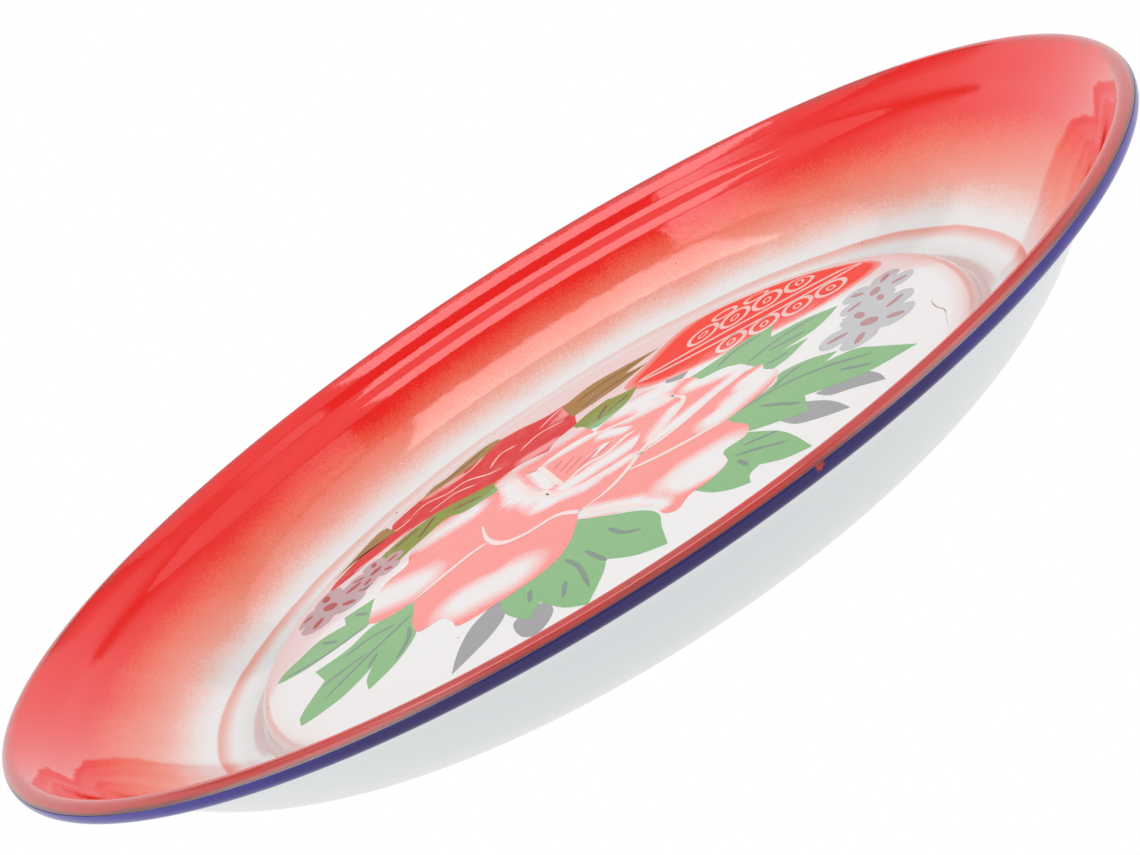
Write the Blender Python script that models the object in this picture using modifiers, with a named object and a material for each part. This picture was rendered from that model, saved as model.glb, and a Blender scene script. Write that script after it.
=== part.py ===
"""Round enamelled steel dish: a pressed steel sheet with a curled rim, and the glass coats fired onto it.

One section line, the middle of the steel sheet, drives every piece. Each piece is the band between
two offsets from that line, turned about the Z axis. The dish stands on its foot, on the plane Z = 0.
"""

from math import atan2, cos, radians, sin

import bpy

# Driving dimensions, in metres.
RIM_DIAMETER = 0.300
BEAD_DIAMETER = 0.005
PANEL_RADIUS = 0.0937
PANEL_LIFT = 0.0055
STEP_WIDTH = 0.0057
FOOT_WIDTH = 0.0015
HEEL_RADIUS = 0.0075
HEEL_SLOPE = radians(17)
WALL_CURVE_RADIUS = 0.058
WALL_SLOPE = radians(43)
CURL_END_SLOPE = radians(-255)

# Thicknesses, in metres. A coat keeps a small gap to the layer below it.
STEEL_THICKNESS = 0.0005
COAT_GAP = 0.00005
INNER_COAT = 0.0002
RED_COAT = 0.0001
OUTER_COAT = 0.0003

# Where a coat ends on the bead, as the slope of the section line there.
RED_EDGE_SLOPE = radians(-68)
BLUE_TOP_SLOPE = radians(-72)
BLUE_END_SLOPE = radians(-250)

# The red coat thins out on the wall at this radius.
RED_LOW_RADIUS = 0.118

QUARTER_TURN = radians(90)

TURN_STEPS = 48
STEP_ARC_STEPS = 4
HEEL_ARC_STEPS = 2
WALL_ARC_STEPS = 4
BEAD_RISE_STEPS = 2
BEAD_OUTER_STEPS = 4
BEAD_UNDER_STEPS = 7
BEAD_STEPS = BEAD_RISE_STEPS + BEAD_OUTER_STEPS + BEAD_UNDER_STEPS

# Columns of a station on the section line.
RADIUS = 0
SLOPE = 2

# Offsets from the section line: above it is the side that holds the food.
STEEL_TOP = STEEL_THICKNESS / 2
STEEL_LOW = -STEEL_TOP
INNER_LOW = STEEL_TOP + COAT_GAP
INNER_TOP = INNER_LOW + INNER_COAT
RED_LOW = INNER_TOP + COAT_GAP
RED_TOP = RED_LOW + RED_COAT
OUTER_TOP = STEEL_LOW - COAT_GAP
OUTER_LOW = OUTER_TOP - OUTER_COAT

BEAD_CURL_RADIUS = BEAD_DIAMETER / 2 - RED_TOP
BEAD_CENTRE_RADIUS = (RIM_DIAMETER - BEAD_DIAMETER) / 2


class SectionLine:
    """A line drawn outwards from the axis, as straight runs and arcs that meet smoothly."""

    def __init__(self, height):
        self.x = 0.0
        self.z = height
        self.slope = 0.0
        self.stations = [(self.x, self.z, self.slope)]

    def straight_to(self, radius):
        length = (radius - self.x) / cos(self.slope)
        self.z += length * sin(self.slope)
        self.x = radius
        self.stations.append((self.x, self.z, self.slope))

    def arc(self, radius, turn, steps):
        """Turns the line through an angle, upwards when it is positive."""
        bend = radius if turn > 0 else -radius
        centre_x = self.x - bend * sin(self.slope)
        centre_z = self.z + bend * cos(self.slope)
        first_slope = self.slope
        for step in range(1, steps + 1):
            self.slope = first_slope + turn * step / steps
            self.x = centre_x + bend * sin(self.slope)
            self.z = centre_z - bend * cos(self.slope)
            self.stations.append((self.x, self.z, self.slope))


def dish_line():
    """Raised floor panel, step down to the foot, curved wall and curled rim."""
    step_turn = 2 * atan2(PANEL_LIFT, STEP_WIDTH)
    step_radius = STEP_WIDTH / (2 * sin(step_turn))
    foot_height = -OUTER_LOW

    line = SectionLine(foot_height + PANEL_LIFT)
    line.straight_to(PANEL_RADIUS)
    line.arc(step_radius, -step_turn, STEP_ARC_STEPS)
    line.arc(step_radius, step_turn, STEP_ARC_STEPS)
    line.straight_to(line.x + FOOT_WIDTH)
    line.arc(HEEL_RADIUS, HEEL_SLOPE, HEEL_ARC_STEPS)
    line.arc(WALL_CURVE_RADIUS, WALL_SLOPE - HEEL_SLOPE, WALL_ARC_STEPS)
    line.straight_to(BEAD_CENTRE_RADIUS - BEAD_CURL_RADIUS * sin(WALL_SLOPE))

    # The curl has a station at its top and at its outermost point, so the overall sizes are exact.
    line.arc(BEAD_CURL_RADIUS, -WALL_SLOPE, BEAD_RISE_STEPS)
    line.arc(BEAD_CURL_RADIUS, -QUARTER_TURN, BEAD_OUTER_STEPS)
    line.arc(BEAD_CURL_RADIUS, CURL_END_SLOPE + QUARTER_TURN, BEAD_UNDER_STEPS)
    return line.stations


def between(low, high, share):
    """The station part of the way from one station to the next."""
    return tuple(a + (b - a) * share for a, b in zip(low, high))


def cut_at(stations, column, value, first=1):
    """Index and station where a column passes a value, going outwards from the first index."""
    for index in range(first, len(stations)):
        before = stations[index - 1][column] - value
        after = stations[index][column] - value
        if before * after < 0:
            share = before / (before - after)
            return index, between(stations[index - 1], stations[index], share)
    raise ValueError("the section line never reaches this value")


def offset_points(stations, offset):
    """The stations moved across the sheet, up when the offset is positive."""
    return [(x - offset * sin(slope), z + offset * cos(slope)) for x, z, slope in stations]


def turned_band(name, stations, low, high, material, collection, feather=False):
    """Turns the band between two offsets from the section line into one closed solid.

    A feathered band starts at half its thickness.
    """
    top = offset_points(stations, high)
    bottom = offset_points(stations, low)
    if feather:
        top[0] = tuple((a + b) / 2 for a, b in zip(top[0], bottom[0]))
    outline = bottom + top[::-1]

    # A band that reaches the axis stays open there, and the turn closes it.
    starts_on_axis = stations[0][0] == 0.0
    count = len(outline)
    edges = [(index, index + 1) for index in range(count - 1)]
    if not starts_on_axis:
        edges.append((count - 1, 0))

    mesh = bpy.data.meshes.new(name)
    mesh.from_pydata([(x, 0.0, z) for x, z in outline], edges, [])
    mesh.materials.append(material)
    piece = bpy.data.objects.new(name, mesh)
    collection.objects.link(piece)

    turn = piece.modifiers.new("Turn", "SCREW")
    turn.axis = "Z"
    turn.steps = TURN_STEPS
    turn.render_steps = TURN_STEPS
    turn.use_merge_vertices = True
    turn.merge_threshold = 0.000001
    turn.use_normal_flip = True
    turn.use_smooth_shade = True
    return piece


def enamel(name, color, roughness):
    material = bpy.data.materials.new(name)
    material.use_nodes = True
    shader = material.node_tree.nodes["Principled BSDF"]
    shader.inputs["Base Color"].default_value = (*color, 1.0)
    shader.inputs["Roughness"].default_value = roughness
    shader.inputs["Coat Weight"].default_value = 0.5
    material.diffuse_color = (*color, 1.0)
    return material


def sheet_steel():
    grey = (0.42, 0.43, 0.45, 1.0)
    material = bpy.data.materials.new("sheet_steel")
    material.use_nodes = True
    shader = material.node_tree.nodes["Principled BSDF"]
    shader.inputs["Base Color"].default_value = grey
    shader.inputs["Metallic"].default_value = 1.0
    shader.inputs["Roughness"].default_value = 0.45
    material.diffuse_color = grey
    return material


def clear_scene():
    for item in list(bpy.data.objects):
        bpy.data.objects.remove(item, do_unlink=True)


def build_dish():
    clear_scene()
    dish = bpy.data.collections.new("enamel_dish")
    bpy.context.scene.collection.children.link(dish)

    line = dish_line()
    curl_start = len(line) - BEAD_STEPS
    white = enamel("white_enamel", (0.84, 0.84, 0.83), 0.12)

    # The pressed sheet runs from the middle of the floor to the end of its curl.
    turned_band("steel_core", line, STEEL_LOW, STEEL_TOP, sheet_steel(), dish)

    # The white inside coat and the red coat over it both end on the outside of the bead.
    red_stop, red_edge = cut_at(line, SLOPE, RED_EDGE_SLOPE, curl_start)
    inside = line[:red_stop] + [red_edge]
    turned_band("inner_enamel", inside, INNER_LOW, INNER_TOP, white, dish)

    red_first, red_low_edge = cut_at(line, RADIUS, RED_LOW_RADIUS)
    red = [red_low_edge] + line[red_first:red_stop] + [red_edge]
    red_enamel = enamel("red_enamel", (0.80, 0.04, 0.03), 0.12)
    turned_band("red_enamel", red, RED_LOW, RED_TOP, red_enamel, dish, feather=True)

    # The blue edge coat starts just below the red one and goes round under the bead.
    blue_first, blue_top = cut_at(line, SLOPE, BLUE_TOP_SLOPE, curl_start)
    blue_stop, blue_end = cut_at(line, SLOPE, BLUE_END_SLOPE, curl_start)
    blue = [blue_top] + line[blue_first:blue_stop] + [blue_end]
    blue_enamel = enamel("blue_enamel", (0.035, 0.015, 0.20), 0.12)
    turned_band("blue_edge_enamel", blue, INNER_LOW, RED_TOP, blue_enamel, dish)

    # The white outside coat ends where the sheet starts to curl.
    turned_band("outer_enamel", line[:curl_start], OUTER_LOW, OUTER_TOP, white, dish)


build_dish()
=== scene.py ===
"""A round enamelled steel dish with a sprayed red wall and a printed peony, in a white light tent."""

from math import atan2, cos, hypot, pi, radians, sin, tan

import bpy
from mathutils import Matrix, Vector
from mathutils.geometry import tessellate_polygon


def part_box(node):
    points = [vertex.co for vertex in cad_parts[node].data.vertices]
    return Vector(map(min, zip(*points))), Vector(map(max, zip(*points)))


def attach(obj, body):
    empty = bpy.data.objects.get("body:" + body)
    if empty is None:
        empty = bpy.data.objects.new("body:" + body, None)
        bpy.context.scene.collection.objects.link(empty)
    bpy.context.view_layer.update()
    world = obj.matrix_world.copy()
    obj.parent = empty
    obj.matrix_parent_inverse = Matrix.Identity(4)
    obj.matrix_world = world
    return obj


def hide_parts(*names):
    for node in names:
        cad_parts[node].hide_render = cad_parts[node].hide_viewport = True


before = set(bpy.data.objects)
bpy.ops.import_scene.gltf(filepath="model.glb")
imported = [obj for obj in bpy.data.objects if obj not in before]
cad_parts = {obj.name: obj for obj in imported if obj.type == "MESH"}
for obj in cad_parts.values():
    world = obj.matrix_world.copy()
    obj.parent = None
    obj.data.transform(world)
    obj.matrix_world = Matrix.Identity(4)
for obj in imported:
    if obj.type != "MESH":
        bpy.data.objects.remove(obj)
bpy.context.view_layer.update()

MM = 0.001

# ---------------------------------------------------------------- sizes, from the frame
RIM_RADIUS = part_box("blue_edge_enamel")[1][0]
RIM_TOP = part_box("red_enamel")[1][2]

# The section of the pressed sheet, as the frame's nodes have it.
BEAD_RADIUS = 2.5 * MM
STEEL_HALF = 0.25 * MM
COAT_GAP = 0.05 * MM
SKIN = 0.65 * MM
FLOOR_SKIN = 0.50 * MM
UNDER_SKIN = -0.60 * MM
PANEL_RADIUS = 93.7 * MM
PANEL_LIFT = 5.5 * MM
STEP_WIDTH = 5.7 * MM
FOOT_WIDTH = 1.5 * MM
HEEL_RADIUS = 7.5 * MM
HEEL_SLOPE = radians(17)
WALL_CURVE_RADIUS = 58.0 * MM
WALL_SLOPE = radians(43)
CURL_END_SLOPE = radians(-255)
QUARTER_TURN = radians(90)
RED_EDGE_SLOPE = radians(-68)
BLUE_TOP_SLOPE = radians(-72)
BLUE_END_SLOPE = radians(-250)

CURL_RADIUS = BEAD_RADIUS - SKIN
BEAD_CENTRE_RADIUS = RIM_RADIUS - BEAD_RADIUS
BEAD_CENTRE_HEIGHT = RIM_TOP - BEAD_RADIUS

# The thin rim is a little out of true: its near and far sides are lower than its ends.
RIM_DROP = 0.9 * MM
FLAT_RADIUS = 105 * MM

TURN_STEPS = 288
WALL_STEPS = 80
# The curl has three arcs: from the wall up to level, on to straight down, and round to its end.
CURL_STEPS = (8, 16, 26)

# The rolled band under the rim: how much steeper, in degrees, the wall is at each distance from the axis.
ROLLED_BAND = (
    (126 * MM, 0.0), (129 * MM, 1.6), (134.6 * MM, 2.2), (136.1 * MM, -1.5), (138.4 * MM, -8.5),
    (140.4 * MM, -1.5), (141.6 * MM, 2.8), (143.0 * MM, 2.4), (144.2 * MM, -2.0), (146.2 * MM, -5.0),
)


# ---------------------------------------------------------------- the section line
class SectionLine:
    """The middle line of the steel sheet, drawn outwards from the axis as straight runs and arcs."""

    def __init__(self, height):
        self.x = 0.0
        self.z = height
        self.slope = 0.0
        self.stations = [(self.x, self.z, self.slope)]

    def straight_to(self, radius, steps=1):
        start_x = self.x
        start_z = self.z
        for step in range(1, steps + 1):
            self.x = start_x + (radius - start_x) * step / steps
            self.z = start_z + (self.x - start_x) * sin(self.slope) / cos(self.slope)
            self.stations.append((self.x, self.z, self.slope))

    def arc(self, radius, turn, steps):
        bend = radius if turn > 0 else -radius
        centre_x = self.x - bend * sin(self.slope)
        centre_z = self.z + bend * cos(self.slope)
        first_slope = self.slope
        for step in range(1, steps + 1):
            self.slope = first_slope + turn * step / steps
            self.x = centre_x + bend * sin(self.slope)
            self.z = centre_z - bend * cos(self.slope)
            self.stations.append((self.x, self.z, self.slope))


def between_knots(knots, x):
    """The value at x on a line through knots of (x, value), eased at each knot."""
    for (near, low), (far, high) in zip(knots, knots[1:]):
        if near <= x <= far:
            share = (x - near) / (far - near)
            return low + (high - low) * share * share * (3 - 2 * share)
    return 0.0


def add_rolled_band(stations, first):
    """Tilts the straight wall by ROLLED_BAND, and keeps the heights of both its ends."""
    places = [x for x, z, slope in stations[first:]]
    lift = 0.0
    lifts = [0.0]
    tilts = [0.0]
    for x0, x1 in zip(places, places[1:]):
        tilt = radians(between_knots(ROLLED_BAND, (x0 + x1) / 2))
        lift += (x1 - x0) * (tan(WALL_SLOPE + tilt) - tan(WALL_SLOPE))
        lifts.append(lift)
        tilts.append(radians(between_knots(ROLLED_BAND, x1)))
    for index, (lift_here, tilt_here) in enumerate(zip(lifts, tilts)):
        x, z, slope = stations[first + index]
        share = (x - places[0]) / (places[-1] - places[0])
        stations[first + index] = (x, z + lift_here - lift * share, slope + tilt_here)


def dish_line():
    """The whole section, from the middle of the floor panel out to the end of the curl."""
    step_turn = 2 * atan2(PANEL_LIFT, STEP_WIDTH)
    step_radius = STEP_WIDTH / (2 * sin(step_turn))
    line = SectionLine(PANEL_LIFT - UNDER_SKIN)
    line.straight_to(PANEL_RADIUS, 12)
    line.arc(step_radius, -step_turn, 14)
    line.arc(step_radius, step_turn, 14)
    line.straight_to(line.x + FOOT_WIDTH)
    line.arc(HEEL_RADIUS, HEEL_SLOPE, 6)
    line.arc(WALL_CURVE_RADIUS, WALL_SLOPE - HEEL_SLOPE, 24)
    line.straight_to(BEAD_CENTRE_RADIUS - CURL_RADIUS * sin(WALL_SLOPE), WALL_STEPS)
    add_rolled_band(line.stations, len(line.stations) - 1 - WALL_STEPS)
    curl_turns = (-WALL_SLOPE, -QUARTER_TURN, CURL_END_SLOPE + QUARTER_TURN)
    for turn, steps in zip(curl_turns, CURL_STEPS):
        line.arc(CURL_RADIUS, turn, steps)
    return line.stations


def station_between(low, high, share):
    return tuple(a + (b - a) * share for a, b in zip(low, high))


def part_of_line(stations, start=None, stop=None):
    """The stretch of the bead between two slopes, or from the axis where no start is given."""
    curl_start = len(stations) - sum(CURL_STEPS)
    kept = []
    for index, station in enumerate(stations):
        on_bead = index >= curl_start
        slope = station[2]
        if start is not None and (not on_bead or slope > start):
            continue
        if start is not None and not kept:
            before = stations[index - 1]
            kept.append(station_between(before, station, (before[2] - start) / (before[2] - slope)))
        if stop is not None and on_bead and slope < stop:
            before = stations[index - 1]
            kept.append(station_between(before, station, (before[2] - stop) / (before[2] - slope)))
            break
        kept.append(station)
    return kept


def offset_points(stations, offsets):
    return [(x - d * sin(slope), z + d * cos(slope)) for (x, z, slope), d in zip(stations, offsets)]


def rim_drop(x, angle):
    """How far the warp lowers the sheet at a distance x from the axis."""
    share = min(max((x - FLAT_RADIUS) / (RIM_RADIUS - FLAT_RADIUS), 0.0), 1.0)
    return RIM_DROP * sin(angle) ** 2 * share * share * (3 - 2 * share)


def turned_band(name, stations, lows, highs, material):
    """A closed solid: the band between two offsets from the section line, turned about the Z axis."""
    top = offset_points(stations, highs)
    bottom = offset_points(stations, lows)
    on_axis = stations[0][0] == 0.0
    outline = bottom + top[::-1]
    ring_points = [p for p in outline if not (on_axis and p[0] <= 0.0)]
    verts = []
    faces = []
    for step in range(TURN_STEPS):
        angle = 2 * pi * step / TURN_STEPS
        verts += [(x * cos(angle), x * sin(angle), z - rim_drop(x, angle)) for x, z in ring_points]
    count = len(ring_points)
    joined = count - 1 if on_axis else count
    for step in range(TURN_STEPS):
        here = step * count
        there = (step + 1) % TURN_STEPS * count
        for index in range(joined):
            after = (index + 1) % count
            faces.append((here + index, there + index, there + after, here + after))
    if on_axis:
        low_pole = len(verts)
        high_pole = low_pole + 1
        verts += [(0.0, 0.0, bottom[0][1]), (0.0, 0.0, top[0][1])]
        for step in range(TURN_STEPS):
            here = step * count
            there = (step + 1) % TURN_STEPS * count
            faces.append((low_pole, there, here))
            faces.append((high_pole, here + count - 1, there + count - 1))
    mesh = bpy.data.meshes.new(name)
    mesh.from_pydata(verts, [], faces)
    mesh.materials.append(material)
    mesh.shade_smooth()
    mesh.set_sharp_from_angle(angle=radians(35))
    piece = bpy.data.objects.new(name, mesh)
    bpy.context.scene.collection.objects.link(piece)
    return piece


# ---------------------------------------------------------------- materials
class Tree:
    """A small helper that adds nodes to a node tree and joins them."""

    def __init__(self, owner):
        owner.use_nodes = True
        self.nodes = owner.node_tree.nodes
        self.link = owner.node_tree.links.new

    def fill(self, socket, value):
        if isinstance(value, bpy.types.NodeSocket):
            self.link(value, socket)
        elif value is not None:
            socket.default_value = value

    def math(self, operation, *values, clamp=False):
        node = self.nodes.new("ShaderNodeMath")
        node.operation = operation
        node.use_clamp = clamp
        for socket, value in zip(node.inputs, values):
            self.fill(socket, value)
        return node.outputs[0]

    def vector(self, operation, *values):
        node = self.nodes.new("ShaderNodeVectorMath")
        node.operation = operation
        for socket, value in zip(node.inputs, values):
            self.fill(socket, value)
        return node.outputs["Value" if operation in ("LENGTH", "DISTANCE", "DOT_PRODUCT") else "Vector"]

    def split(self, vector):
        node = self.nodes.new("ShaderNodeSeparateXYZ")
        self.link(vector, node.inputs[0])
        return node.outputs

    def mix(self, factor, first, second):
        node = self.nodes.new("ShaderNodeMix")
        node.data_type = "RGBA"
        for index, value in ((0, factor), (6, first), (7, second)):
            self.fill(node.inputs[index], (*value, 1.0) if isinstance(value, tuple) else value)
        return node.outputs[2]

    def step(self, value, low, high, smooth=True):
        """Goes from 0 to 1 as the value goes from low to high."""
        node = self.nodes.new("ShaderNodeMapRange")
        node.interpolation_type = "SMOOTHSTEP" if smooth else "LINEAR"
        self.link(value, node.inputs["Value"])
        node.inputs["From Min"].default_value = low
        node.inputs["From Max"].default_value = high
        return node.outputs["Result"]

    def window(self, value, rise, fall):
        """Goes from 0 to 1 over the two values of rise, and back to 0 over the two values of fall."""
        return self.math("MULTIPLY", self.step(value, *rise), self.step(value, fall[1], fall[0]))

    def ramp(self, value, stops):
        """A colour ramp over the stops' own range, where each stop is a value and a colour."""
        low = stops[0][0]
        high = stops[-1][0]
        node = self.nodes.new("ShaderNodeValToRGB")
        self.link(self.step(value, low, high, smooth=False), node.inputs[0])
        elements = node.color_ramp.elements
        elements.remove(elements[1])
        elements[0].color = (*stops[0][1], 1.0)
        for at, color in stops[1:]:
            elements.new((at - low) / (high - low)).color = (*color, 1.0)
        return node.outputs["Color"]

    def noise(self, position, scale, detail=2.0, roughness=0.5):
        """Noise with a mean near zero, mostly between -0.3 and 0.3."""
        node = self.nodes.new("ShaderNodeTexNoise")
        self.link(position, node.inputs["Vector"])
        node.inputs["Scale"].default_value = scale
        node.inputs["Detail"].default_value = detail
        node.inputs["Roughness"].default_value = roughness
        return self.math("SUBTRACT", node.outputs["Fac"], 0.5)

    def bump(self, height, distance, strength=1.0):
        node = self.nodes.new("ShaderNodeBump")
        self.link(height, node.inputs["Height"])
        node.inputs["Distance"].default_value = distance
        node.inputs["Strength"].default_value = strength
        return node.outputs["Normal"]


class Finish(Tree):
    """A material with one Principled BSDF, and the position on the dish to drive it."""

    def __init__(self, name, roughness, ior=1.54):
        self.material = bpy.data.materials.new(name)
        super().__init__(self.material)
        self.inputs = self.nodes["Principled BSDF"].inputs
        self.inputs["Roughness"].default_value = roughness
        self.inputs["IOR"].default_value = ior
        self.place = self.nodes.new("ShaderNodeTexCoord").outputs["Object"]
        self.radius = self.vector("LENGTH", self.vector("MULTIPLY", self.place, (1.0, 1.0, 0.0)))

    def color(self, value):
        self.fill(self.inputs["Base Color"], (*value, 1.0) if isinstance(value, tuple) else value)


GLAZE_WHITE = (0.745, 0.735, 0.725)

# The sprayed wall, from the white floor to the solid red near the rim: distance from the axis and colour.
SPRAYED_WALL = (
    (111 * MM, GLAZE_WHITE),
    (113.5 * MM, (0.75, 0.69, 0.67)),
    (116.7 * MM, (0.78, 0.52, 0.46)),
    (120 * MM, (0.80, 0.34, 0.27)),
    (123.5 * MM, (0.81, 0.235, 0.165)),
    (127 * MM, (0.82, 0.165, 0.105)),
    (130.5 * MM, (0.82, 0.080, 0.045)),
    (133.5 * MM, (0.80, 0.018, 0.012)),
    (145.6 * MM, (0.79, 0.014, 0.012)),
    (147.4 * MM, (0.50, 0.050, 0.045)),
    (150 * MM, (0.50, 0.060, 0.050)),
)


# Rings of painted reflection of the red wall on the white, in the curved foot and at the edge of the floor
# panel: the distances between which each one starts, and between which it ends.
FOOT_REFLECTION_RING = ((105.8 * MM, 109.6 * MM), (109.7 * MM, 110.4 * MM))
PANEL_REFLECTION_RING = ((90.0 * MM, 95.0 * MM), (95.5 * MM, 99.5 * MM))
# The two colours of the painted reflection of the red wall.
RED_WALL_REFLECTION = (0.74, 0.27, 0.20)
FAINT_RED_WALL_REFLECTION = (0.74, 0.33, 0.26)
PIN_HOLE = (0.20, 0.07, 0.05)
BROWN_SEAM = (0.13, 0.075, 0.075)


def glaze_waves(glaze):
    """The slight orange-peel of fired enamel."""
    return glaze.bump(glaze.noise(glaze.place, 260.0, 2.0, 0.5), 0.05 * MM, 0.5)


def inner_glaze():
    glaze = Finish("white_and_red_glaze", roughness=0.06)
    grain = glaze.noise(glaze.place, 1600.0, 2.0, 0.6)
    cloud = glaze.noise(glaze.place, 45.0, 3.0, 0.5)
    push = glaze.math("MULTIPLY_ADD", grain, 8 * MM, glaze.math("MULTIPLY", cloud, 5 * MM))
    sprayed = glaze.math("ADD", glaze.radius, push)
    base = glaze.ramp(sprayed, SPRAYED_WALL)

    # Painted reflection of the red wall: a ring round the foot of the wall, and a fainter one round the floor
    # panel, both stronger towards the left and right sides, the panel's also on the right.
    x = glaze.split(glaze.place)[0]
    across = glaze.math("ABSOLUTE", glaze.math("DIVIDE", x, glaze.radius))
    wander = glaze.math("MULTIPLY_ADD", cloud, 2 * MM, glaze.radius)
    more_at_sides = glaze.math("MULTIPLY_ADD", across, 0.55, 0.30)
    # Painted reflection in the curved foot of the wall.
    foot = glaze.math("MULTIPLY", glaze.window(wander, *FOOT_REFLECTION_RING), more_at_sides)
    base = glaze.mix(foot, base, RED_WALL_REFLECTION)
    # Fainter painted reflection at the edge of the floor panel.
    panel = glaze.math("MULTIPLY", glaze.window(wander, *PANEL_REFLECTION_RING), glaze.math("POWER", across, 3.0))
    more_at_right = glaze.math("MULTIPLY_ADD", glaze.step(x, 0.0, 80 * MM), 0.30, 0.14)
    base = glaze.mix(glaze.math("MULTIPLY", panel, more_at_right), base, FAINT_RED_WALL_REFLECTION)

    # Pin holes in the glaze, and the brown line where the red and the blue coats meet.
    pits = glaze.nodes.new("ShaderNodeTexVoronoi")
    glaze.link(glaze.place, pits.inputs["Vector"])
    pits.inputs["Scale"].default_value = 95.0
    base = glaze.mix(glaze.step(pits.outputs["Distance"], 0.034, 0.022), base, PIN_HOLE)
    seam = glaze.step(glaze.math("MULTIPLY_ADD", cloud, 0.8 * MM, glaze.radius), 149.3 * MM, 149.7 * MM)
    seam = glaze.math("MULTIPLY", seam, glaze.math("MULTIPLY_ADD", across, 0.5, 0.4))
    base = glaze.mix(seam, base, BROWN_SEAM)
    glaze.color(base)
    glaze.link(glaze_waves(glaze), glaze.inputs["Normal"])
    return glaze.material


# Where a spot of the blue is missing from the near side of the rim.
CHIP = (34 * MM, -146 * MM, BEAD_CENTRE_HEIGHT + 0.2 * MM)
CHIP_RED = (0.40, 0.030, 0.025)
# The blue of the rim: darker in front, and lighter at the left and right ends, which is a painted sheen.
DARK_BLUE = (0.018, 0.008, 0.115)
SHEEN_BLUE = (0.050, 0.030, 0.33)


def blue_glaze():
    """Blue that was dipped on, darker in front and lighter towards the left and right ends, where the lighter
    blue is a painted sheen, in random patches.
    """
    glaze = Finish("blue_rim_glaze", roughness=0.08)
    across = glaze.math("ABSOLUTE", glaze.math("DIVIDE", glaze.split(glaze.place)[0], glaze.radius))
    # Lighter towards the left and right ends as a painted sheen, in random patches.
    sheen_and_patches = glaze.math("MULTIPLY_ADD", glaze.noise(glaze.place, 60.0, 3.0, 0.6), 0.5, across)
    blue = glaze.mix(glaze.step(sheen_and_patches, 0.25, 0.95), DARK_BLUE, SHEEN_BLUE)
    chip = glaze.vector("DISTANCE", glaze.place, CHIP)
    chip = glaze.math("MULTIPLY_ADD", glaze.noise(glaze.place, 500.0, 2.0, 0.6), 2.5 * MM, chip)
    glaze.color(glaze.mix(glaze.step(chip, 1.5 * MM, 0.9 * MM), blue, CHIP_RED))
    return glaze.material


def plain_glaze(name, color, roughness=0.08):
    glaze = Finish(name, roughness)
    glaze.color(color)
    return glaze.material


def steel():
    metal = Finish("sheet_steel", roughness=0.4)
    metal.color((0.30, 0.30, 0.31))
    metal.inputs["Metallic"].default_value = 1.0
    return metal.material


# ---------------------------------------------------------------- the dish
# The red over the white makes the coat of the wall thicker, from RED_STARTS and in full RED_THICKENS later.
RED_STARTS = 113 * MM
RED_THICKENS = 12 * MM


def same(stations, value):
    return [value] * len(stations)


def build_dish():
    line = dish_line()
    core = turned_band("pressed_steel", line, same(line, -STEEL_HALF), same(line, STEEL_HALF), steel())
    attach(core, "root")
    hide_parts("steel_core")

    inside = part_of_line(line, stop=RED_EDGE_SLOPE)
    lows = same(inside, STEEL_HALF + COAT_GAP)
    reds = [min(max((station[0] - RED_STARTS) / RED_THICKENS, 0), 1) for station in inside]
    highs = [FLOOR_SKIN + (SKIN - FLOOR_SKIN) * red for red in reds]
    skin = turned_band("inside_glaze", inside, lows, highs, inner_glaze())
    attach(skin, "root")
    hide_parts("inner_enamel", "red_enamel")

    edge = part_of_line(line, start=BLUE_TOP_SLOPE, stop=BLUE_END_SLOPE)
    lows = same(edge, STEEL_HALF + COAT_GAP)
    band = turned_band("blue_rim_glaze", edge, lows, same(edge, SKIN), blue_glaze())
    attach(band, "root")
    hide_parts("blue_edge_enamel")

    under = line[:-sum(CURL_STEPS)]
    highs = same(under, -STEEL_HALF - COAT_GAP)
    white = plain_glaze("outside_white_glaze", (0.80, 0.825, 0.84))
    outside = turned_band("outside_glaze", under, same(under, UNDER_SKIN), highs, white)
    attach(outside, "root")
    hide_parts("outer_enamel")


# ---------------------------------------------------------------- the print on the floor
PRINT_SCALE = 1.0 * MM
# Beyond this distance the print is squeezed inwards, so that it stays on the flat panel.
PRINT_SQUEEZED = 90.0
SQUEEZE = 0.38
PRINT_HEIGHT = PANEL_LIFT - UNDER_SKIN + FLOOR_SKIN
INK_LAYER = 0.004 * MM
CORNER = True
CURVE_STEPS = 8
FAN_RINGS = (0.2, 0.4, 0.55, 0.68, 0.79, 0.88, 0.95, 1.0)

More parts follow.
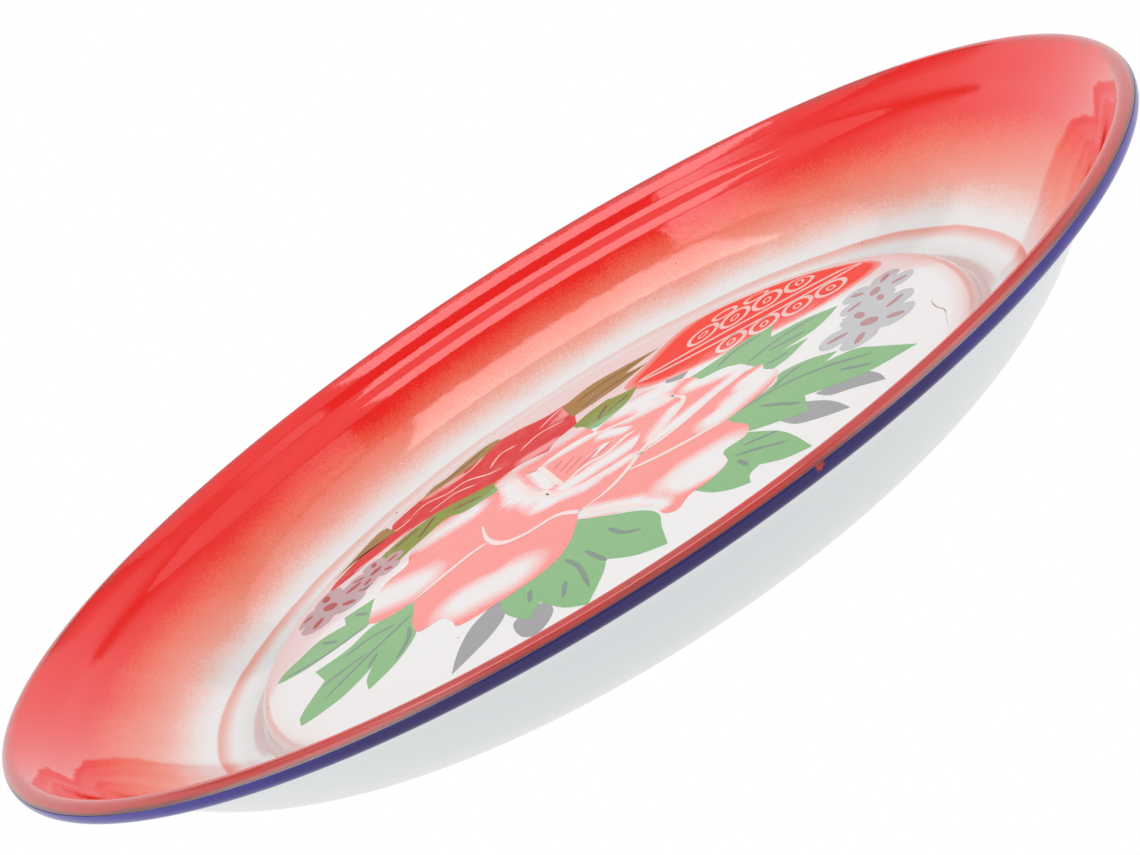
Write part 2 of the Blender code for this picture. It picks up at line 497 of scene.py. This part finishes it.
# Outlines on the floor in millimetres from its centre: X right, Y away.
# A point that ends with CORNER is a tip or a notch; the line is smooth through the others.
GREY_LEAVES = (
    ((-50, -57, CORNER), (-47, -46), (-42, -36), (-34, -30, CORNER), (-34, -41), (-38, -48), (-44, -53)),
    ((-33, -50), (-33, -60), (-30, -65), (-26, -62), (-24, -56), (-26, -49)),
    ((40, -33, CORNER), (42, -41), (47, -47), (53, -52, CORNER), (52, -44), (50, -37), (46, -29, CORNER)),
    ((50, -30, CORNER), (52, -37), (57, -42), (63, -49, CORNER), (63, -42), (60, -34)),
    ((26, 45), (30, 51), (36, 52, CORNER), (34, 45), (30, 40, CORNER)),
    ((-70, 31, CORNER), (-65, 41), (-61, 48), (-56, 55, CORNER), (-57, 45), (-62, 37)),
)
GREEN_LEAVES = (
    ((-94, 9, CORNER), (-86, 15), (-78, 20), (-71, 19, CORNER), (-71, 25, CORNER), (-62, 25, CORNER),
     (-62, 16), (-65, 9), (-74, 7), (-84, 6)),
    ((-64, 6), (-52, 4, CORNER), (-54, -6), (-55, -18), (-61, -28), (-69, -34, CORNER), (-69, -27),
     (-67, -21, CORNER), (-76, -28), (-89, -30, CORNER), (-85, -20), (-79, -10, CORNER), (-81, 0, CORNER),
     (-72, 1)),
    ((-34, -29, CORNER), (-34, -42), (-30, -54, CORNER), (-26, -48, CORNER), (-22, -60), (-17, -67, CORNER),
     (-11, -55), (-9, -48, CORNER), (-3, -57), (4, -62, CORNER), (5, -50), (6, -41), (3, -32), (-5, -20),
     (-10, -11, CORNER), (-18, -24)),
    ((15, -40, CORNER), (18, -49), (22, -55), (26, -58, CORNER), (27, -53), (30, -51, CORNER), (35, -57),
     (41, -60, CORNER), (40, -48), (38, -38), (33, -27, CORNER), (24, -28, CORNER), (22, -36)),
    ((28, -10, CORNER), (44, -7), (48, -2), (55, -5), (61, -12, CORNER), (57, -14, CORNER), (64, -18),
     (68, -26), (74, -40, CORNER), (63, -38), (55, -33), (48, -27, CORNER), (46, -38, CORNER), (40, -33),
     (33, -26), (32, -18)),
    ((31, 37, CORNER), (33, 31), (40, 27), (44, 18), (46, 4, CORNER), (52, 5), (59, 10, CORNER),
     (52, 13, CORNER), (62, 13), (70, 19, CORNER), (62, 25), (53, 28, CORNER), (56, 37, CORNER), (46, 38),
     (38, 37)),
    ((1, 58, CORNER), (6, 61), (12, 62, CORNER), (14, 60), (20, 57, CORNER), (15, 49), (6, 45, CORNER),
     (2, 50)),
    ((-59, 52, CORNER), (-58, 44), (-57, 38, CORNER), (-50, 44), (-40, 48), (-30, 44, CORNER),
     (-22, 46, CORNER), (-23, 54, CORNER), (-31, 57), (-40, 60, CORNER), (-50, 58)),
)
OLIVE_LEAVES = (
    ((-75, 61, CORNER), (-69, 67), (-64, 74), (-60, 78), (-55, 75), (-52, 66, CORNER), (-62, 65)),
    ((-42, 79, CORNER), (-40, 85), (-34, 84), (-29, 89), (-22, 92), (-17, 87, CORNER), (-24, 81), (-33, 79)),
    ((1, 79, CORNER), (10, 83), (20, 81), (31, 77, CORNER), (20, 74), (26, 71, CORNER), (16, 67),
     (2, 66, CORNER)),
)
LEAF_VEINS = (
    ((-27, -37), (-28, -44)), ((-19, -45), (-21, -54)), ((-17, -32), (-15, -42), (-15, -58)),
    ((-12, -35), (-9, -49)), ((-5, -30), (-3, -38), (1, -44)),
    ((-80, -22), (-70, -14), (-60, -7), (-54, -3)), ((-80, -13), (-74, -11), (-67, -10)),
    ((-73, -3), (-66, -1), (-59, -3)), ((-68, -20), (-65, -14)), ((-61, -26), (-57, -18), (-56, -10)),
    ((-89, 9), (-78, 7), (-66, 9)), ((-78, 17), (-74, 11)), ((-68, 22), (-65, 17)),
    ((27, -40), (28, -47)), ((27, -36), (33, -42), (38, -48)), ((30, -33), (35, -36), (38, -38)),
    ((34, -9), (46, -11), (56, -17), (66, -28)), ((39, -15), (43, -23), (46, -30)),
    ((58, -25), (61, -30), (64, -34)), ((44, -9), (49, -6), (53, -6)),
    ((38, 31), (44, 35), (52, 35)), ((44, 20), (54, 23), (64, 22)), ((50, 19), (56, 17), (60, 16)),
    ((47, 10), (53, 9)), ((-54, 53), (-46, 57)), ((-47, 49), (-41, 58)), ((-36, 54), (-28, 50)),
    ((7, 51), (11, 58)), ((10, 52), (17, 55)), ((-72, 63), (-64, 68), (-57, 69)),
    ((-38, 81), (-28, 84), (-21, 88)), ((5, 76), (14, 78), (26, 77)), ((5, 69), (14, 71), (22, 71)),
)

# Each petal: its outline, the point that its shading spreads from, and its sprayed white patches,
# each round a line from one point to another (X, Y, X, Y, reach).
PEONY_PETALS = (
    (((-53, 5, CORNER), (-60, 5), (-65, 9), (-64, 17), (-62, 25), (-58, 31), (-52, 34), (-50, 42), (-43, 48),
      (-38, 50), (-33, 46), (-24, 45), (-22, 36), (-24, 20), (-28, 8), (-42, 9)),
     (-42, 26), ((-61, 21, -52, 16, 13), (-46, 44, -33, 43, 9))),
    (((-53, 6, CORNER), (-54, -3), (-55, -10), (-54, -18), (-48, -19), (-46, -25), (-44, -31), (-30, -32),
      (-20, -30), (-14, -23), (-10, -12), (-6, -4), (-14, 4), (-26, 10), (-36, 12), (-46, 9)),
     (-32, -9), ((-41, -17, -30, -20, 14),)),
    (((-10, -12, CORNER), (-5, -20), (2, -29), (6, -36), (7, -43), (10, -46), (14, -42), (20, -41), (25, -37),
      (26, -29), (32, -28), (34, -22), (32, -15), (30, -8), (20, 0), (7, 2), (-6, -2)),
     (12, -18), ((16, -27, 25, -28, 13), (17, -34, 21, -35, 8), (-9, -9, 2, -24, 5), (2, -24, 8, -38, 4))),
    (((6, -1, CORNER), (18, -6), (29, -10), (40, -8), (46, -4), (48, 2), (46, 8), (46, 13), (36, 16),
      (24, 14), (12, 8)),
     (30, 2), ((30, -4, 44, 3, 9), (40, 8, 46, 9, 4))),
    (((8, 6, CORNER), (16, 7), (26, 9), (34, 13), (43, 16), (42, 24), (34, 28), (32, 36), (27, 42), (20, 49),
      (12, 47), (4, 42, CORNER), (2, 30)),
     (20, 26), ((14, 45, 25, 41, 8), (14, 8, 43, 17, 5), (31, 30, 41, 23, 6), (18, 36, 22, 33, 5))),
    (((-24, 53, CORNER), (-24, 40), (-30, 30), (-31, 18), (-29, 8), (-23, 2), (-14, 0), (-8, -6), (0, -6),
      (6, -1), (12, 7), (22, 15), (27, 23), (26, 31), (18, 35), (6, 38), (4, 47), (1, 55), (-8, 51, CORNER),
      (-16, 55)),
     (-4, 22), ((-21, 50, -20, 32, 5), (-20, 32, -14, 14, 6), (-14, 14, -3, 8, 6), (-3, 8, 8, 7, 4),
                (-16, 54, 2, 53, 6), (14, 36, 24, 32, 5), (16, 12, 24, 22, 4))),
    (((-16, 45, CORNER), (-13, 42), (-9, 44), (-2, 45), (5, 42), (10, 34), (14, 26), (13, 18), (8, 11),
      (0, 10), (-7, 12), (-12, 20), (-15, 32)),
     (0, 28), ((-13, 43, -12, 24, 4), (-9, 16, 11, 16, 6), (-8, 44, 4, 42, 4), (6, 36, 11, 30, 4))),
)
PEONY_HEART = (
    ((-11, 38), (-10, 29), (-9, 22), (-4, 19), (2, 23), (10, 24), (5, 29), (0, 36), (-4, 40)),
    (-3, 29), ((2, 26, 6, 28, 3),),
)
HEART_STROKES = (
    ((-8, 29), (-3, 34)), ((-7, 25), (-1, 31)), ((-4, 23), (3, 28)), ((2, 24), (7, 27)), ((-9, 34), (-6, 37)),
)
WHITE_LINES = (
    ((-53, 5), (-44, 9), (-36, 12), (-31, 12)),
    ((-31, 26), (-31, 14), (-28, 5), (-22, 1), (-14, 0), (-9, -7), (-4, -16), (2, -25), (6, -34)),
    ((-9, -7), (-2, -6), (4, -2), (10, 5), (18, 14), (24, 19), (27, 25), (25, 32)),
    ((5, 40), (12, 36), (20, 33), (26, 31)),
    ((6, -1), (14, -5), (24, -8), (30, -9)),
    ((10, 5), (18, 6), (26, 9), (34, 13), (43, 15)),
    ((-13, 22), (-12, 15), (-5, 10), (3, 6), (10, 6)),
    ((-8, 19), (-2, 22), (4, 21), (10, 24), (13, 24)),
    ((-12, 43), (-11, 36), (-10, 26), (-9, 19)),
    ((-24, 50), (-19, 45), (-18, 36), (-17, 28), (-13, 18)),
)

RED_PEONY = (
    ((-73, 51, CORNER), (-72, 57), (-63, 64), (-54, 67), (-52, 74), (-46, 78), (-40, 80), (-34, 78),
     (-28, 82), (-20, 86), (-12, 85), (-4, 81), (4, 80), (6, 74), (3, 67), (2, 58, CORNER), (-4, 56),
     (-8, 51, CORNER), (-16, 55), (-24, 54), (-34, 57), (-44, 60), (-54, 58), (-64, 55)),
    (-30, 68), ((-40, 78, -32, 78, 4), (-14, 57, -6, 56, 4), (0, 72, 4, 78, 4)),
)
RED_PEONY_LINES = (
    ((-57, 69), (-51, 67), (-47, 69)), ((-47, 70), (-42, 73), (-36, 70), (-30, 70), (-24, 64), (-20, 62)),
    ((-66, 55), (-58, 57), (-48, 61)), ((-23, 68), (-19, 74), (-14, 73)), ((-7, 74), (0, 79), (5, 77)),
    ((-36, 76), (-28, 77), (-22, 83)), ((-14, 66), (-8, 70), (0, 68)), ((-42, 64), (-34, 66), (-28, 62)),
)
ROUNDEL = (
    ((17, 62), (25, 70), (36, 79), (48, 81), (60, 75), (72, 65), (82, 51), (88, 38), (86, 29), (78, 26),
     (68, 26), (56, 30), (44, 37), (32, 43), (22, 51)),
    (56, 52), (),
)

# Blossoms: X, Y, reach of the petals, and turn in degrees.
BLOSSOMS = ((78.5, 12, 10.5, 50), (71.5, -6, 13.5, 92), (-74, 40, 12.5, 95), (-60, 45, 8.5, 20))
HAIR_CRACK = ((84, -44), (83.4, -36), (84.4, -30), (83.9, -24), (84.6, -18))


def smooth_line(points, closed):
    """A Catmull-Rom curve through the points, which stops at each corner."""
    count = len(points)
    tangents = []
    for index, point in enumerate(points):
        before = points[index - 1] if closed or index > 0 else point
        after = points[(index + 1) % count] if closed or index < count - 1 else point
        weight = 0.0 if len(point) == 3 else 0.5
        tangents.append(((after[0] - before[0]) * weight, (after[1] - before[1]) * weight))
    line = []
    for index in range(count if closed else count - 1):
        (x0, y0), (x1, y1) = points[index][:2], points[(index + 1) % count][:2]
        (u0, v0), (u1, v1) = tangents[index], tangents[(index + 1) % count]
        for step in range(CURVE_STEPS):
            t = step / CURVE_STEPS
            a, b, c, d = (1 + 2 * t) * (1 - t) ** 2, t * (1 - t) ** 2, t * t * (3 - 2 * t), t * t * (t - 1)
            line.append((a * x0 + b * u0 + c * x1 + d * u1, a * y0 + b * v0 + c * y1 + d * v1))
    if not closed:
        line.append(points[-1][:2])
    return line


def distance_to(x, y, x0, y0, x1, y1):
    """How far the point is from the line between two others."""
    span = (x1 - x0) ** 2 + (y1 - y0) ** 2
    share = min(max(((x - x0) * (x1 - x0) + (y - y0) * (y1 - y0)) / span, 0.0), 1.0)
    return hypot(x - x0 - share * (x1 - x0), y - y0 - share * (y1 - y0))


class InkSheet:
    """Flat printed shapes of one ink, gathered into one piece.

    Each point has a tint, from 0, which is full ink, to 1, which is the thin colour.
    """

    def __init__(self):
        self.verts = []
        self.faces = []
        self.tints = []

    def add_point(self, x, y, layer, tint):
        reach = hypot(x, y)
        if reach > PRINT_SQUEEZED:
            inward = (PRINT_SQUEEZED + (reach - PRINT_SQUEEZED) * SQUEEZE) / reach
            x *= inward
            y *= inward
        self.verts.append((x * PRINT_SCALE, y * PRINT_SCALE, PRINT_HEIGHT + layer * INK_LAYER))
        self.tints.append(tint)
        return len(self.verts) - 1

    def fill(self, outline, layer):
        """A flat shape of even ink."""
        line = smooth_line(outline, closed=True)
        base = len(self.verts)
        for x, y in line:
            self.add_point(x, y, layer, 0.0)
        flat = [Vector((x, y, 0.0)) for x, y in line]
        for triangle in tessellate_polygon([flat]):
            a, b, c = (base + index for index in triangle)
            turn = (flat[b - base] - flat[a - base]).cross(flat[c - base] - flat[a - base]).z
            if turn != 0.0:
                self.faces.append((a, b, c) if turn > 0 else (a, c, b))

    def shade(self, outline, centre, patches, layer, edge=0.0):
        """A shape whose ink thins out at the sprayed patches, and by edge at its outline."""
        line = smooth_line(outline, closed=True)
        turn = sum(x0 * y1 - x1 * y0 for (x0, y0), (x1, y1) in zip(line, line[1:] + line[:1]))
        if turn < 0:
            line.reverse()
        rings = []
        for share in FAN_RINGS:
            ring = []
            for x, y in line:
                px = centre[0] + (x - centre[0]) * share
                py = centre[1] + (y - centre[1]) * share
                tint = 0.0
                for x0, y0, x1, y1, reach in patches:
                    near = 1.0 - min(distance_to(px, py, x0, y0, x1, y1) / reach, 1.0)
                    tint += near * near * (3 - 2 * near) * 1.25
                tint = min(tint, 1.0)
                if share > 0.9:
                    tint = max(tint, edge * (share - 0.85) / 0.15)
                ring.append(self.add_point(px, py, layer, tint))
            rings.append(ring)
        middle = self.add_point(*centre, layer, 0.0)
        count = len(line)
        for index in range(count):
            after = (index + 1) % count
            self.faces.append((middle, rings[0][index], rings[0][after]))
            for inner, outer in zip(rings, rings[1:]):
                self.faces.append((inner[index], outer[index], outer[after], inner[after]))

    def stroke(self, points, width, layer, closed=False):
        """A brush line, which thins out towards its ends unless it is closed."""
        line = smooth_line(points, closed)
        count = len(line)
        sides = []
        for index, (x, y) in enumerate(line):
            before = line[index - 1] if closed or index > 0 else line[0]
            after = line[(index + 1) % count] if closed or index < count - 1 else line[-1]
            along = hypot(after[0] - before[0], after[1] - before[1]) or 1.0
            half = width / 2
            if not closed:
                half *= min(1.0, 0.25 + 4.0 * min(index, count - 1 - index) / count)
            nx = -(after[1] - before[1]) / along * half
            ny = (after[0] - before[0]) / along * half
            low = self.add_point(x - nx, y - ny, layer, 0.0)
            high = self.add_point(x + nx, y + ny, layer, 0.0)
            sides.append((low, high))
        for index in range(count if closed else count - 1):
            low0, high0 = sides[index]
            low1, high1 = sides[(index + 1) % count]
            self.faces.append((low0, low1, high1, high0))

    def make(self, name, material):
        mesh = bpy.data.meshes.new(name)
        mesh.from_pydata(self.verts, [], self.faces)
        tint = mesh.attributes.new("tint", "FLOAT", "POINT")
        for item, value in zip(tint.data, self.tints):
            item.value = value
        mesh.materials.append(material)
        piece = bpy.data.objects.new(name, mesh)
        bpy.context.scene.collection.objects.link(piece)
        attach(piece, "root")


def ink(name, color, thin_color=GLAZE_WHITE, mottle=0.16):
    """An ink under the clear glaze, which thins out to another colour in fine sprayed dots."""
    glaze = Finish(name, roughness=0.06)
    tint = glaze.nodes.new("ShaderNodeAttribute")
    tint.attribute_name = "tint"
    dots = glaze.noise(glaze.place, 1800.0, 2.0, 0.6)
    cloud = glaze.noise(glaze.place, 150.0, 4.0, 0.7)
    thin = glaze.math("MULTIPLY_ADD", dots, 0.9, tint.outputs["Fac"])
    thin = glaze.math("MULTIPLY", thin, glaze.step(tint.outputs["Fac"], 0.02, 0.3))
    thin = glaze.math("MULTIPLY_ADD", cloud, mottle, thin, clamp=True)
    glaze.color(glaze.mix(thin, color, thin_color))
    glaze.link(glaze_waves(glaze), glaze.inputs["Normal"])
    return glaze.material


def petal_ring(x, y, reach, turn):
    """The outline of a blossom with five round petals."""
    points = []
    for step in range(40):
        angle = 2 * pi * step / 40
        lobe = abs(cos(2.5 * angle)) ** 0.7
        r = reach * (0.66 + 0.34 * lobe)
        points.append((x + r * cos(angle + radians(turn)), y + r * sin(angle + radians(turn))))
    return points


def oval(x, y, length, width, turn):
    """Points on an ellipse, given by its half axes and its turn in radians."""
    return [(x + length * cos(a) * cos(turn) - width * sin(a) * sin(turn),
             y + length * cos(a) * sin(turn) + width * sin(a) * cos(turn))
            for a in (2 * pi * step / 12 for step in range(12))]


ORNAMENT_TURN = radians(-17)
ORNAMENT_PITCH = 9.5


def on_ornament(x, y, along, above):
    """The place that is so far along and above the ornament's slanting line through the point (x, y)."""
    return (x + along * cos(ORNAMENT_TURN) - above * sin(ORNAMENT_TURN),
            y + along * sin(ORNAMENT_TURN) + above * cos(ORNAMENT_TURN))


def roundel_ornament(sheet, layer):
    """A generic ornament in white outline: a long thin oval, with double ovals above and below it."""
    sheet.stroke(oval(53, 50, 33, 2.6, ORNAMENT_TURN), 1.3, layer, closed=True)
    for above, tall, steps in ((9.5, 5.0, range(4)), (-8.5, 4.6, range(1, 5))):
        for step in steps:
            x, y = on_ornament(55, 50, ORNAMENT_PITCH * step - 17, above)
            lean = ORNAMENT_TURN + radians(90 + 14 * (step - 2))
            sheet.stroke(oval(x, y, tall, 3.9, lean), 1.3, layer, closed=True)
            sheet.stroke(oval(x, y, tall * 0.35, 1.0, lean), 0.6, layer, closed=True)
    for step in range(2):
        x, y = on_ornament(56, 50, ORNAMENT_PITCH * step - 12, 17)
        sheet.stroke(oval(x, y, 3.4, 2.5, ORNAMENT_TURN), 1.1, layer, closed=True)


def build_print():
    """The inks lie in layers: each one with a higher number covers those below it."""
    grey = InkSheet()
    for leaf in GREY_LEAVES:
        grey.fill(leaf, layer=1)
    grey.make("print_grey_leaves", ink("grey_ink", (0.215, 0.215, 0.22)))

    red = InkSheet()
    red.shade(*RED_PEONY, layer=2)
    dull_red = ink("red_ink", (0.62, 0.060, 0.062), (0.80, 0.40, 0.37), mottle=1.1)
    red.make("print_red_peony", dull_red)

    bright = InkSheet()
    bright.shade(*ROUNDEL, layer=3, edge=0.9)
    bright_red = ink("bright_red_ink", (0.84, 0.070, 0.045), (0.80, 0.45, 0.40))
    bright.make("print_red_roundel", bright_red)

    green = InkSheet()
    for leaf in GREEN_LEAVES:
        green.fill(leaf, layer=4)
    green.make("print_green_leaves", ink("green_ink", (0.115, 0.36, 0.075)))

    olive = InkSheet()
    for leaf in OLIVE_LEAVES:
        olive.fill(leaf, layer=4)
    olive.make("print_olive_leaves", ink("olive_ink", (0.25, 0.25, 0.085), mottle=0.5))

    veins = InkSheet()
    for vein in LEAF_VEINS:
        veins.stroke(vein, 1.3, layer=5)
    veins.make("print_leaf_veins", ink("vein_ink", (0.075, 0.16, 0.085)))

    pink = InkSheet()
    for layer, petal in enumerate(PEONY_PETALS):
        pink.shade(*petal, layer=6 + layer)
    heart_layer = 6 + len(PEONY_PETALS)
    pink.shade(*PEONY_HEART, layer=heart_layer)
    pink.make("print_pink_peony", ink("pink_ink", (0.86, 0.17, 0.14)))

    dark = InkSheet()
    for stroke in HEART_STROKES:
        dark.stroke(stroke, 1.5, layer=heart_layer + 1)
    dark.make("print_heart_strokes", ink("dark_pink_ink", (0.72, 0.065, 0.055)))

    blossoms = InkSheet()
    dots = InkSheet()
    for number, (x, y, reach, turn) in enumerate(BLOSSOMS):
        blossoms.fill(petal_ring(x, y, reach, turn), layer=5 + number)
        dots.fill(oval(x, y, reach * 0.24, reach * 0.14, radians(turn + 20)), layer=9)
        for step in range(5):
            angle = radians(turn + 72 * step)
            dot_x = x + reach * 0.62 * cos(angle)
            dot_y = y + reach * 0.62 * sin(angle)
            dots.fill(oval(dot_x, dot_y, reach * 0.21, reach * 0.09, angle), layer=9)
    dots.stroke(HAIR_CRACK, 0.3, layer=1)
    blossoms.make("print_grey_blossoms", ink("pale_grey_ink", (0.43, 0.43, 0.445)))
    dots.make("print_blossom_hearts", ink("dull_red_ink", (0.36, 0.12, 0.115)))

    lines = InkSheet()
    for line in WHITE_LINES:
        lines.stroke(line, 1.7, layer=heart_layer + 2)
    for line in RED_PEONY_LINES:
        lines.stroke(line, 0.8, layer=3)
    roundel_ornament(lines, layer=5)
    lines.make("print_white_lines", ink("white_line_ink", (0.82, 0.63, 0.59)))


# ---------------------------------------------------------------- studio
CAMERA_ELEVATION = radians(15.28)
CAMERA_ROLL = radians(33.0)
CAMERA_DISTANCE = 4 * RIM_RADIUS
CAMERA_AIM = Vector((0.0, -0.2243 * RIM_RADIUS, BEAD_CENTRE_HEIGHT + 0.1 * MM))
LENS = 86.4

# How bright the floor is to everything but the camera, which sees it as 1.
FLOOR_GLOW = 0.85
# The tent's brightness, from its foot up to the top.
TENT = ((0.0, (0.98,) * 3), (0.5, (0.98,) * 3), (0.72, (0.80,) * 3), (1.0, (0.88,) * 3))
# The strip of light is a part of a ring on a ceiling 1 m up, whose centre lies STRIP_CENTRE to the far side.
STRIP_CENTRE = 0.48
STRIP_INSIDE = 0.46
STRIP_OUTSIDE = 0.655
STRIP_BLUR = 0.01
STRIP_RADIANCE = 3.0
FRONT_RADIANCE = 1.9


def add_camera():
    data = bpy.data.cameras.new("camera")
    data.lens = LENS
    data.sensor_width = 36.0
    data.sensor_fit = "HORIZONTAL"
    data.clip_start = 0.01
    data.clip_end = 100.0
    camera = bpy.data.objects.new("camera", data)
    bpy.context.scene.collection.objects.link(camera)
    away = Vector((0.0, -cos(CAMERA_ELEVATION), sin(CAMERA_ELEVATION)))
    level = Vector((1.0, 0.0, 0.0))
    above = away.cross(level)
    right = cos(CAMERA_ROLL) * level - sin(CAMERA_ROLL) * above
    up = sin(CAMERA_ROLL) * level + cos(CAMERA_ROLL) * above
    turn = Matrix((right, up, away)).transposed().to_4x4()
    camera.matrix_world = Matrix.Translation(CAMERA_AIM + CAMERA_DISTANCE * away) @ turn
    bpy.context.scene.camera = camera


def build_tent():
    """The light: a white tent with a strip and two wings of light overhead, and two soft lights in front."""
    world = bpy.data.worlds.new("tent")
    bpy.context.scene.world = world
    tent = Tree(world)
    direction = tent.nodes.new("ShaderNodeTexCoord").outputs["Generated"]
    across, along, climb = tent.split(direction)

    walls = tent.ramp(climb, TENT)

    # Places on a level ceiling at a height of 1 m, for the lights up there.
    height = tent.math("MAXIMUM", climb, 0.02)
    right = tent.math("DIVIDE", across, height)
    far = tent.math("DIVIDE", along, height)
    ragged = tent.noise(tent.vector("MULTIPLY", direction, (2.0, 14.0, 1.0)), 3.0, 3.0, 0.7)
    side = tent.math("MULTIPLY_ADD", ragged, 0.10, tent.math("ABSOLUTE", right))
    reach = tent.math("SQRT", tent.math("ADD", tent.math("POWER", right, 2.0),
                                        tent.math("POWER", tent.math("SUBTRACT", far, STRIP_CENTRE), 2.0)))
    near_half = tent.step(far, 0.45, 0.35)
    middle = tent.window(right, (-0.50, -0.46), (0.26, 0.28))
    inner_edge = (STRIP_INSIDE - STRIP_BLUR, STRIP_INSIDE + STRIP_BLUR)
    outer_edge = (STRIP_OUTSIDE - STRIP_BLUR, STRIP_OUTSIDE + STRIP_BLUR)
    band = tent.window(reach, inner_edge, outer_edge)
    strip = tent.math("MULTIPLY", middle, band)
    wings = tent.window(side, (0.40, 0.42), (0.42, 0.76))
    wings = tent.math("MULTIPLY", wings, tent.math("MULTIPLY_ADD", tent.step(right, 0.1, -0.1), 0.65, 0.45))
    outer = tent.window(reach, (STRIP_OUTSIDE + 0.005, STRIP_OUTSIDE + 0.04),
                        (STRIP_OUTSIDE + 0.11, STRIP_OUTSIDE + 0.20))
    lit = tent.math("MAXIMUM", strip, tent.math("MULTIPLY", wings, outer))
    lit = tent.math("MULTIPLY", lit, near_half)

    # The dim part of the tent round the strip.
    ring = tent.window(reach, outer_edge, (1.05, 1.25))
    dim = tent.math("MULTIPLY", ring, tent.step(side, 0.95, 0.55))
    dimmed = tent.math("SUBTRACT", 1.0, tent.math("MULTIPLY", dim, 0.85))

    # Two soft lights at the sides in front, and the darker part of the tent between them.
    level = tent.math("SQRT", tent.math("SUBTRACT", 1.0, tent.math("POWER", climb, 2.0)))
    sideways = tent.math("DIVIDE", tent.math("ABSOLUTE", across), tent.math("MAXIMUM", level, 0.05))
    front = tent.math("MULTIPLY", tent.step(sideways, 0.55, 0.85), tent.step(along, 0.15, -0.10))
    front = tent.math("MULTIPLY", front, tent.window(climb, (0.15, 0.35), (0.75, 0.92)))
    between = tent.math("MULTIPLY", tent.step(sideways, 0.75, 0.45), tent.step(along, -0.45, -0.65))
    dimmed = tent.math("MULTIPLY", dimmed, tent.math("MULTIPLY_ADD", between, -0.55, 1.0))

    radiance = tent.math("MULTIPLY", walls, dimmed)
    radiance = tent.math("MULTIPLY_ADD", lit, STRIP_RADIANCE, radiance)
    radiance = tent.math("MULTIPLY_ADD", front, FRONT_RADIANCE, radiance)
    background = tent.nodes["Background"]
    tent.link(radiance, background.inputs["Strength"])
    background.inputs["Color"].default_value = (0.985, 0.99, 1.0, 1.0)


def build_floor():
    """A floor that the camera sees as pure white, and that lights the dish a little less than that."""
    just_below = (0, 0, -0.05 * MM)
    bpy.ops.mesh.primitive_circle_add(vertices=128, radius=20.0, fill_type="NGON", location=just_below)
    floor = bpy.context.object
    floor.name = "floor"
    material = bpy.data.materials.new("white_floor")
    tree = Tree(material)
    shader = tree.nodes["Principled BSDF"].inputs
    shader["Base Color"].default_value = (0.0, 0.0, 0.0, 1.0)
    shader["Specular IOR Level"].default_value = 0.0
    shader["Emission Color"].default_value = (1.0, 1.0, 1.0, 1.0)
    seen = tree.nodes.new("ShaderNodeLightPath").outputs["Is Camera Ray"]
    tree.link(tree.math("MULTIPLY_ADD", seen, 1.0 - FLOOR_GLOW, FLOOR_GLOW), shader["Emission Strength"])
    floor.data.materials.append(material)


def set_view():
    view = bpy.context.scene.view_settings
    view.view_transform = "Standard"
    view.look = "None"


add_camera()
build_dish()
build_print()
build_tent()
build_floor()
set_view()
